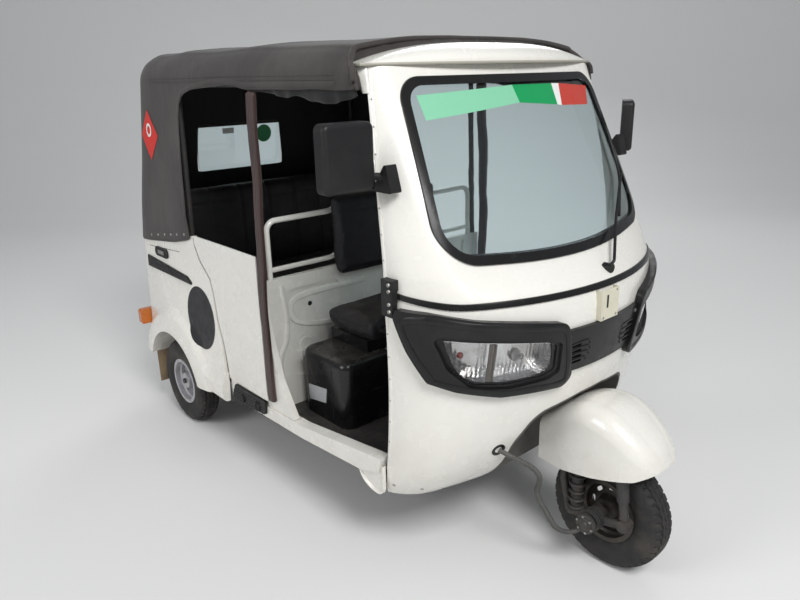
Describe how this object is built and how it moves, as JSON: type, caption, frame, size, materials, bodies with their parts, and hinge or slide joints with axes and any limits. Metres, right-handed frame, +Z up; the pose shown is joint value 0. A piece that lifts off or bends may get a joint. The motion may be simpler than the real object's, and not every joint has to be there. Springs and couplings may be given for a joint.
{
  "type": "three-wheeled auto rickshaw",
  "caption": "Three-wheeled passenger auto rickshaw with a glazed nose cabin, a canvas roof on hoops, an open passenger bay and a rear engine behind a hinged cover.",
  "frame": {"origin": "on the ground under the middle of the vehicle's length and width", "axes": "+X to the vehicle's left, +Y to its rear, +Z up"},
  "size_m": [1.5651, 2.634, 1.74],
  "materials": {
    "body_white": "gloss",
    "chassis_black": "satin",
    "black_plastic": "satin",
    "black_rubber": "matte",
    "tan_rubber": "matte",
    "clear_glass": "gloss",
    "amber_lens": "gloss",
    "lamp_chrome": "gloss",
    "canvas": "matte",
    "brown_canvas": "matte",
    "seat_vinyl": "satin",
    "alloy": "satin",
    "bare_steel": "satin",
    "rim_silver": "satin",
    "tyre": "matte"
  },
  "bodies": {
    "chassis": {"cowl": "body_white", "wheel_well": "body_white", "windshield_seal": "black_rubber", "windshield": "clear_glass", "belt_moulding": "black_plastic", "lamp_bezels": "black_plastic", "headlamp_lenses": "clear_glass", "lamp_bowls": "lamp_chrome", "nose_grille": "black_plastic", "roof_header": "body_white", "plate_bracket": "body_white", "rear_body": "body_white", "canopy": "canvas", "rear_window": "clear_glass", "chassis_frame": "chassis_black", "floor_pan": "chassis_black", "sills": "body_white", "step_pads": "black_rubber", "bulkhead": "body_white", "grab_rails": "body_white", "driver_seat_box": "black_plastic", "driver_cushion": "seat_vinyl", "driver_backrest": "seat_vinyl", "passenger_bench": "body_white", "passenger_cushion": "seat_vinyl", "passenger_backrest": "seat_vinyl", "rear_deck": "chassis_black", "side_panel": "body_white", "pillar_wraps": "brown_canvas", "canopy_hoops": "chassis_black", "mirrors": "black_plastic", "hinge_blocks": "black_plastic", "dashboard": "black_plastic", "wiper": "black_plastic", "engine_block": "alloy", "silencer": "bare_steel", "rear_arms": "chassis_black", "rear_dampers": "chassis_black", "rear_bumper": "chassis_black", "mud_flaps": "tan_rubber", "side_mouldings": "black_plastic", "rear_lamps": "amber_lens", "cover_hinges": "bare_steel"},
    "steering": {"steering_fork": "chassis_black", "front_springs": "chassis_black", "front_fender": "body_white", "handlebar": "chassis_black", "grips": "black_rubber"},
    "front_wheel": {"front_tyre": "tyre", "front_rim": "rim_silver"},
    "rear_right_wheel": {"rear_right_tyre": "tyre", "rear_right_rim": "rim_silver"},
    "rear_left_wheel": {"rear_left_tyre": "tyre", "rear_left_rim": "rim_silver"},
    "engine_lid": {"engine_cover": "body_white"}
  },
  "joints": [
    {"name": "steering_turn", "type": "hinge", "parent": "chassis", "child": "steering", "pos_m": [0, -0.9206, 0.65], "axis": [0, 0.342, 0.9397], "range_deg": [-35, 35]},
    {"name": "front_wheel_spin", "type": "hinge", "parent": "steering", "child": "front_wheel", "pos_m": [0, -1.11, 0.207], "axis": [1, 0, 0], "continuous": true},
    {"name": "rear_right_wheel_spin", "type": "hinge", "parent": "chassis", "child": "rear_right_wheel", "pos_m": [-0.575, 0.875, 0.207], "axis": [1, 0, 0], "continuous": true},
    {"name": "rear_left_wheel_spin", "type": "hinge", "parent": "chassis", "child": "rear_left_wheel", "pos_m": [0.575, 0.875, 0.207], "axis": [1, 0, 0], "continuous": true},
    {"name": "engine_cover_hinge", "type": "hinge", "parent": "chassis", "child": "engine_lid", "pos_m": [0, 1.2697, 0.809], "axis": [1, 0, 0], "range_deg": [0, 70]}
  ]
}
